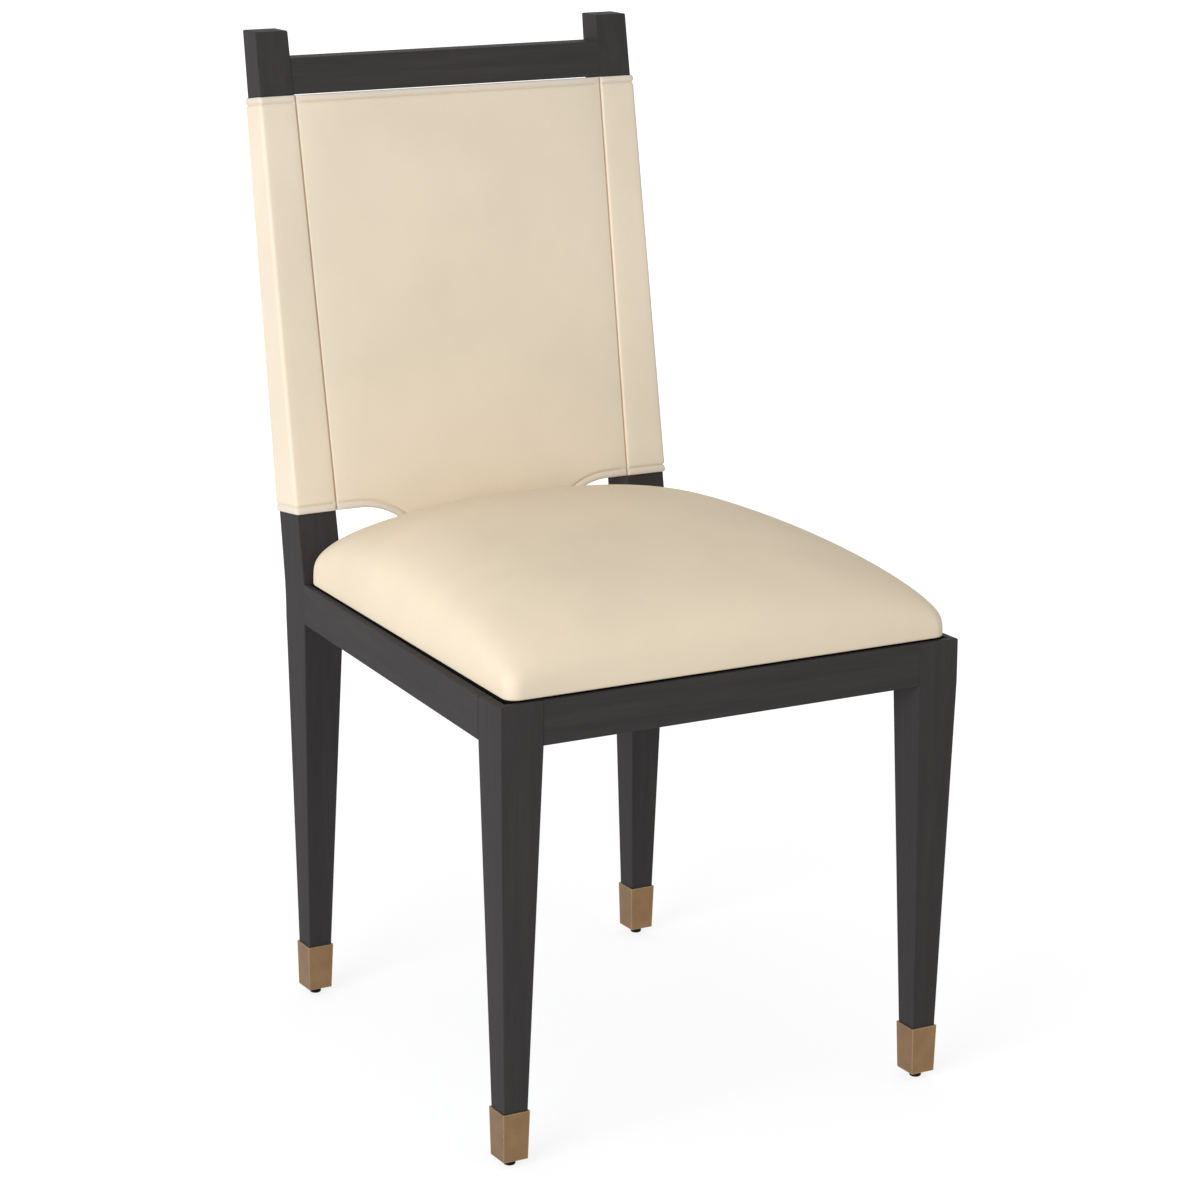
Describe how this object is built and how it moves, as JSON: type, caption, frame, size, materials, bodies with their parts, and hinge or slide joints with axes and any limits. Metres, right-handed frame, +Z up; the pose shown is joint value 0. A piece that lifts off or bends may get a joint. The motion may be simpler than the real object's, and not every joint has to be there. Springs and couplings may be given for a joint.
{
  "type": "dining chair",
  "caption": "Upholstered dining chair: dark wood frame, domed drop-in leather seat, leather sling back on leaning posts, tapered legs with brass ferrules and levelling glides.",
  "frame": {"origin": "on the floor, under the middle of the chair's bounding box", "axes": "+Z up, the front of the chair faces -Y, +X to the right as seen from the front"},
  "size_m": [0.474, 0.5849, 0.952],
  "materials": {
    "stained_wood": "satin",
    "hidden_wood": "matte",
    "dowel_wood": "matte",
    "plywood": "matte",
    "foam": "matte",
    "seat_leather": "satin",
    "sling_leather": "satin",
    "lining_leather": "matte",
    "dust_cloth": "matte",
    "ferrule_brass": "satin",
    "glide_plastic": "matte",
    "insert_steel": "satin",
    "screw_steel": "satin"
  },
  "bodies": {
    "chair": {"cleat_screws": "screw_steel", "corner_block_front_left": "hidden_wood", "corner_block_front_right": "hidden_wood", "corner_block_rear_left": "hidden_wood", "corner_block_rear_right": "hidden_wood", "corner_block_screws": "screw_steel", "ferrule_front_left": "ferrule_brass", "ferrule_front_right": "ferrule_brass", "ferrule_rear_left": "ferrule_brass", "ferrule_rear_right": "ferrule_brass", "frame_dowels": "dowel_wood", "front_leg_left": "stained_wood", "front_leg_right": "stained_wood", "front_seat_rail": "stained_wood", "glide_inserts": "insert_steel", "rear_post_left": "stained_wood", "rear_post_right": "stained_wood", "rear_seat_cleat": "hidden_wood", "rear_seat_rail": "stained_wood", "seat_board": "plywood", "seat_cover": "seat_leather", "seat_dust_cover": "dust_cloth", "seat_foam": "foam", "seat_screws": "screw_steel", "side_seat_rail_left": "stained_wood", "side_seat_rail_right": "stained_wood", "sling_lining": "lining_leather", "sling_panel": "sling_leather", "sling_sleeve_left": "sling_leather", "sling_sleeve_right": "sling_leather", "top_rail": "stained_wood"},
    "glide_front_left": {"glide_front_left": "glide_plastic"},
    "glide_front_right": {"glide_front_right": "glide_plastic"},
    "glide_rear_left": {"glide_rear_left": "glide_plastic"},
    "glide_rear_right": {"glide_rear_right": "glide_plastic"}
  },
  "joints": [
    {"name": "glide_front_left_level", "type": "slide", "parent": "chair", "child": "glide_front_left", "axis": [0, 0, -1], "range_m": [0, 0.008]},
    {"name": "glide_front_right_level", "type": "slide", "parent": "chair", "child": "glide_front_right", "axis": [0, 0, -1], "range_m": [0, 0.008]},
    {"name": "glide_rear_left_level", "type": "slide", "parent": "chair", "child": "glide_rear_left", "axis": [0, 0, -1], "range_m": [0, 0.008]},
    {"name": "glide_rear_right_level", "type": "slide", "parent": "chair", "child": "glide_rear_right", "axis": [0, 0, -1], "range_m": [0, 0.008]}
  ]
}
